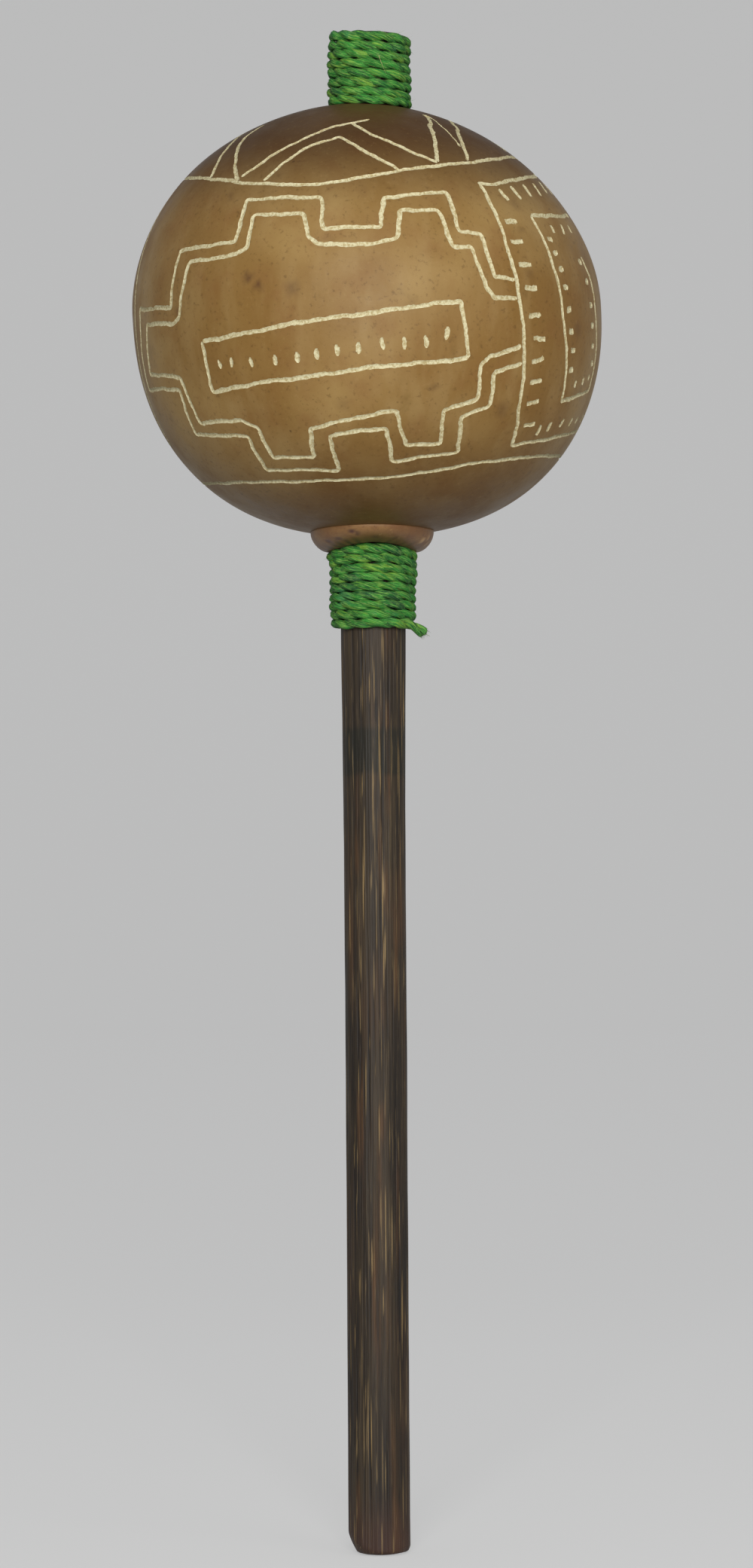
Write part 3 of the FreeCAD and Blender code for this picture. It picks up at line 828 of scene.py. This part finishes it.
def binding(name, route, thickness, opening, seed, core, stray=()):
    """Two plies laid round each other along a route, in millimetres, with stray fibres on them.

    Each ply's middle circles the route once in a lay, right-handed, and its skin is a tube whose
    radius ripples with its fibres. The turns press each other, so along the stick the middles
    come nearer and the plies bulge. Opening parts the plies where the end comes undone. Each
    point keeps its place on a straight round strand, the second ply's far along from the first's,
    so that streaks can follow the fibres: (strand radius x cos(turn), x sin(turn), length along).
    """
    along = unit(np.gradient(route, axis=0))
    up = unit(np.array([0, 0, 1]) - along[:, 2:] * along)
    side = np.cross(along, up)
    distance = lengths_along(route)
    steps = distance[:, None]
    dice = np.random.default_rng(seed)
    knots = np.arange(0, distance[-1] + 20, 9)
    slack = np.interp(distance, knots, np.cumsum(dice.normal(0, 0.30, len(knots))))
    turn = full_turn(PLY_SIDES)[None, :]
    parts = []
    for ply in range(2):
        lay = -math.tau * steps / TWINE_LAY + slack[:, None] + math.pi * ply
        plump = 1 + 0.08 * closed_noise(0 * steps, steps, seed + 5 + ply, 9, (1, 1), 5)
        coarse = closed_noise(turn, steps, seed + 11 + ply, 22, (4, 9), 8)
        fine = closed_noise(turn, steps, seed + 13 + ply, 30, (10, 15), 3.2)
        radius = PLY_RADIUS * thickness[:, None] * plump * (1 + 0.045 * coarse + 0.038 * fine)
        offset = PLY_OFFSET * (thickness + opening)[:, None]
        fibre_turn = turn + 0.35 * lay
        across = offset * np.cos(lay) + radius * np.cos(fibre_turn)
        rise = PRESSED_OFFSET * offset * np.sin(lay) + PRESSED_PLY * radius * np.sin(fibre_turn)
        tube = route[:, None] + side[:, None] * across[..., None] + up[:, None] * rise[..., None]
        patch = closed_noise(0 * steps, steps, seed + 21 + ply, 12, (1, 1), 9)
        fleck = closed_noise(turn, steps, seed + 31 + ply, 26, (2, 9), 4)
        # Painted shade: the plies are darkened where they lie near the stick, along the crease between them
        # and in the hollows between their fibres.
        crease = np.clip((-0.30 - np.cos(fibre_turn - lay)) / 0.35, 0, 1)
        gap_shade = np.clip((core + 1.65 - np.hypot(tube[..., 0], tube[..., 1])) / 0.8, 0, 1)
        gap_shade = gap_shade + 0.75 * crease + np.clip(-0.4 * fine - 0.25 * coarse - 0.12, 0, 0.5)
        strand = np.broadcast_arrays(STRAND_RADIUS * np.cos(turn), STRAND_RADIUS * np.sin(turn),
                                     steps + PLY_APART * ply)
        strand_ends = [[0, 0, distance[0]], [0, 0, distance[-1]]]
        strand = np.concatenate([np.stack(strand, -1).reshape(-1, 3), strand_ends])
        tints = np.append(0.65 * patch + 0.55 * fleck, [0, 0])
        gap_shade = np.append(gap_shade, [0.4, 0.4])
        parts.append((*closed_rings(tube, *tube[[0, -1]].mean(1)), tints, gap_shade, 0, strand))
        # Stray fibres come off all along it, and more thickly at the cut end.
        row = np.concatenate([dice.integers(3, len(tube) - 3, PLY_HAIRS),
                              dice.integers(0, 4, CUT_END_HAIRS if opening.any() else 0)])
        roots = tube[row, dice.integers(0, PLY_SIDES, len(row))]
        off = unit(roots - route[row])
        forward = along[row] * dice.choice([-1, 1], len(row))[:, None]
        at_end = row < 4
        forward[at_end] = -along[row[at_end]]
        spray = dice.uniform(-0.25, 0.25, off.shape)
        ways = unit(forward + spray + off * dice.uniform(0.02, 0.35, len(row))[:, None])
        short, long = dice.uniform(0.6, 1.7, len(row)), dice.uniform(0.8, 3.4, len(row))
        lifts = off * dice.uniform(-0.3, 0.35, len(row))[:, None]
        tufts = hairs(roots - 0.05 * off, ways, lifts, np.where(at_end & opening.any(), short, long),
                      dice.uniform(0.06, 0.12, len(row)))
        tints = np.repeat(dice.normal(0.2, 0.7, len(row)), HAIR_RINGS * HAIR_SIDES)
        paleness = np.repeat(dice.uniform(0, 0.7, len(row)) ** 2, HAIR_RINGS * HAIR_SIDES)
        parts.append((*tufts, tints, 0, paleness, tufts[0]))
    for root, tip, lift, width in stray:
        way, length = np.array([tip]) - [root], np.array([math.dist(root, tip)])
        tufts = hairs(np.array([root]), unit(way), np.array([lift]), length, np.array([width]))
        parts.append((*tufts, 1, 0, 1, tufts[0]))
    points, quads, triangles, *shares, fibre = zip(*parts)
    first = np.cumsum([0] + [len(group) for group in points])
    quads, triangles = (np.concatenate([faces + start for faces, start in zip(kind, first)])
                        for kind in (quads, triangles))
    attributes = []
    for title, share in zip(("dye", "painted_gap_shade", "pale"), shares):
        values = [np.broadcast_to(value, len(group)) for value, group in zip(share, points)]
        attributes.append((title, np.concatenate(values)))
    attributes.append(("fibre", np.concatenate(fibre)))
    return piece_from(name, np.concatenate(points) / 1000, quads, triangles, attributes)


# The lower one climbs at the back. Each turn arches a little more than the last over the front,
# and the top one presses up into the arch of the collar's foot.
LOWER_TURNS = 9
LOWER_PITCH = 2.14
lower_core = SHANK_RADIUS * 1000
lower_low = lower_wrap_high.z * 1000 - LOWER_TURNS * LOWER_PITCH
turns = np.linspace(0.375, 8.95, 3000)
azimuth = math.pi - math.tau * turns
facing = np.clip(np.cos(azimuth), 0, 1)
level = lower_low + LOWER_PITCH * stair(turns, 1.08) + 0.235 * (turns - 0.5) * facing
level += 0.07 * np.sin(3.1 * azimuth + 1) + 0.05 * np.sin(1.37 * azimuth)
reach = lower_core + 1.18 + 0.50 * turns / LOWER_TURNS
reach += 0.09 * np.sin(0.83 * azimuth) + 0.06 * np.sin(2.3 * azimuth + 2)
reach -= 1.6 * np.clip((turns - 8.75) / 0.2, 0, 1)
wound = on_stick(azimuth, reach, level)
leaving = wound[0]
elbow = leaving + 3.6 * np.array([math.cos(azimuth[0]), math.sin(azimuth[0]), 0.05])
tip = np.array([13.1, -2.8, 234.9])
share = np.linspace(1, 0, 60, endpoint=False)[:, None]
tail = (1 - share) ** 2 * leaving + 2 * share * (1 - share) * elbow + share ** 2 * tip
lower_route, lower_distance = even_steps(np.concatenate([tail, wound]), TWINE_STEP)
undone = np.clip(1 - lower_distance / 3.4, 0, 1)
thick = 1 - 0.30 * np.clip(1 - lower_distance / 0.7, 0, 1) ** 2
thick += 0.10 * np.clip((lower_distance - lower_distance[-1] + 62) / 12, 0, 1)
lower_twine = binding("lower_twine", lower_route, thick, 0.45 * undone, 41, lower_core)

# The upper one slopes down to the right as it crosses the front. Its last turns are pressed down
# on the gourd's crown, which they follow.
upper_core = CROWN_RADIUS * 1000
upper_pitch = 2.36
turns = np.linspace(7.34, -0.5, 2600)
azimuth = -math.tau * turns
level = upper_wrap_low.z * 1000 + 0.75 + upper_pitch * stair(turns, 0.72)
level += 0.09 * np.sin(2.7 * azimuth) + 0.06 * np.sin(1.21 * azimuth + 1)
reach = upper_core + 1.30 + 0.10 * np.sin(0.71 * azimuth + 1) + 0.07 * np.sin(2.1 * azimuth)
crown_share = (reach + 1.5 * np.sin(azimuth)) / GOURD_RADIUS
crown_level = gourd_equator + GOURD_RISE * (1 - crown_share ** CROWN_FULLNESS) ** (1 / CROWN_FULLNESS) + 0.95
level = crown_level + 0.5 * np.logaddexp(0, (level - crown_level) / 0.5) - 0.1
reach -= 1.5 * np.clip((turns - 7.2) / 0.14, 0, 1) + 1.3 * np.clip((-0.35 - turns) / 0.14, 0, 1)
upper_route, upper_distance = even_steps(on_stick(azimuth, reach, level), TWINE_STEP)
thick = 1 + 0.03 * np.sin(upper_distance / 9)
upper_twine = binding("upper_twine", upper_route, thick, 0 * upper_distance, 47, upper_core,
                      stray=[((2.4, -10.55, 381.6), (4.1, -10.5, 376.5), (0.06, -0.05, 0), 0.20)])

twine = Finish("green_palm_twine", 0.78)
tint = twine.attribute("dye")
strand = twine.attribute("fibre", "Vector")
threads = twine.noise(5.2, 3, 0.6, (1, 1, 0.07), at=strand)
fine_threads = twine.noise(13, 2, 0.6, (1, 1, 0.05), 4.0, at=strand)
lint = twine.noise(1500, 3, 0.6)
cloud = twine.noise(150, 3, 0.55, shift=1.9)
twine.painted(
    (30, 120, 34),
    ((cloud, 0.35, 0.65), 54, 154, 52),
    ((tint, 0.25, 1.1, 0.75), 138, 184, 56),
    ((tint, -0.25, -1.0, 0.85), 16, 78, 40),
    ((twine.noise(110, 2, 0.5, shift=9.4), 0.58, 0.7, 0.55), 58, 148, 96),
    ((threads, 0.53, 0.66, 0.8), 136, 194, 84),
    ((threads, 0.47, 0.33, 0.9), 12, 58, 18),
    ((fine_threads, 0.55, 0.68, 0.7), 172, 214, 116),
    ((fine_threads, 0.45, 0.30, 0.7), 14, 66, 20),
    ((lint, 0.4, 0.22, 0.5), 22, 70, 26),
    # Painted shade in the gaps and creases of the twine.
    (twine.times(twine.attribute("painted_gap_shade"), 0.92), 6, 30, 10),
    (twine.attribute("pale"), 206, 206, 138))
twine.bump(twine.math("ADD", threads, twine.times(fine_threads, 0.6)), 0.00030, 0.9)
for piece, node in ((lower_twine, "lower_binding"), (upper_twine, "upper_binding")):
    piece.data.materials.append(twine.material)
    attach(piece, "rattle")
    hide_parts(node)


# ---- Seeds ----------------------------------------------------
# Loose round seeds lie on the gourd's floor. Each is a hard dark ball, a little longer than it is
# wide, with a pit at the scar where it hung in its pod.
seed_turn = full_turn(28)[None, :]
seed_rise = np.linspace(-math.pi / 2, math.pi / 2, 17)[1:-1, None]
seed_skin = Finish("dark_seed_coat", 0.35)
seed_spots = seed_skin.noise(700, 3, 0.6)
bodies = frame["record"]["behaviour"]["bodies"]
seed_skin.painted((44, 34, 28), ((seed_spots, 0.4, 0.7), 78, 60, 44))
seed_skin.bump(seed_spots, 0.0001, 0.3)
for name in sorted(node for node in frame["nodes"] if node.startswith("seed_")):
    low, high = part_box(name)
    middle = (low + high) / 2
    size = (high.z - low.z) / 2
    ripple = closed_noise(seed_turn, seed_rise, int(name[-2:]), 5, (1, 3), 2)
    ball = size * (0.965 + 0.02 * ripple - 0.07 * np.exp(-((math.pi / 2 - seed_rise) / 0.22) ** 2))
    rings = np.stack([middle.x + 0.95 * ball * np.cos(seed_rise) * np.cos(seed_turn),
                      middle.y + 0.95 * ball * np.cos(seed_rise) * np.sin(seed_turn),
                      middle.z + ball * np.sin(seed_rise)], -1)
    ends = [(middle.x, middle.y, middle.z + reach * size) for reach in (-0.96, 0.88)]
    kernel = piece_from("kernel_" + name[-2:], *closed_rings(rings, *ends))
    kernel.data.materials.append(seed_skin.material)
    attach(kernel, next(body for body, members in bodies.items() if name in members))
    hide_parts(name)


# ---- Floor, backdrop and lights -------------------------------
# A pale round floor runs out past the camera on every side and bends up into a wall two metres
# high, so that it backs the rattle from all round. Two soft lamps stand in front, and an even sky
# is weak.
FLOOR_REACH = CAMERA_DISTANCE + 1.5
WALL_BEND = 1.2
WALL_TOP = 2.0
sheet_turn = full_turn(96)[None, :]
bend = np.linspace(0, math.pi / 2, 17)[1:]
sheet_radius = FLOOR_REACH + WALL_BEND * np.sin(bend)
sheet_radius = np.concatenate([[0.4, 1.5, FLOOR_REACH], sheet_radius, sheet_radius[-1:]])[:, None]
sheet_height = np.concatenate([[0, 0, 0], WALL_BEND * (1 - np.cos(bend)), [WALL_TOP]])[:, None]
sheet_points = on_stick(sheet_turn, sheet_radius, sheet_height + 0 * sheet_turn)
sheet_index = np.arange(sheet_points[..., 0].size).reshape(sheet_points.shape[:2])
sheet_fan = np.stack([0 * sheet_index[0] + sheet_index.size, sheet_index[0], np.roll(sheet_index[0], -1)], 1)
floor = piece_from("floor_sheet", np.concatenate([sheet_points.reshape(-1, 3), [[0, 0, 0]]]),
                   ring_faces(sheet_index)[:, ::-1], sheet_fan)
paper = Finish("pale_paper", 0.9)
light_path = paper.node("LightPath")
seen = paper.math("MAXIMUM", light_path.outputs["Is Camera Ray"], light_path.outputs["Is Glossy Ray"])
seen = paper.math("MAXIMUM", seen, light_path.outputs["Is Transmission Ray"])
paper.painted((150, 150, 150), (seen, 150, 150, 148))
paper.shader.inputs["Emission Color"].default_value = (1, 1, 1, 1)
paper.put(paper.times(seen, 0.42), paper.shader.inputs["Emission Strength"])
floor.data.materials.append(paper.material)


def soft_lamp(name, place, target, width, height, watts):
    """Rectangular lamp at a place, turned to face a target."""
    lamp = bpy.data.lights.new(name, "AREA")
    lamp.shape, lamp.size, lamp.size_y, lamp.energy = "RECTANGLE", width, height, watts
    holder = bpy.data.objects.new(name, lamp)
    facing = (Vector(target) - Vector(place)).to_track_quat("-Z", "Y").to_matrix().to_4x4()
    holder.matrix_world = Matrix.Translation(place) @ facing
    bpy.context.scene.collection.objects.link(holder)


soft_lamp("key_lamp", (-0.03, -1.9, 0.72), (0, 0, 0.29), 0.65, 0.8, 30)
soft_lamp("fill_lamp", (0.95, -1.2, 0.5), (0, 0, 0.22), 0.8, 0.8, 3.5)
world = bpy.data.worlds.new("even_sky")
world.use_nodes = True
world.node_tree.nodes["Background"].inputs["Color"].default_value = rgb(236, 238, 242)
world.node_tree.nodes["Background"].inputs["Strength"].default_value = 0.3
bpy.context.scene.world = world
bpy.context.scene.view_settings.view_transform = "Standard"
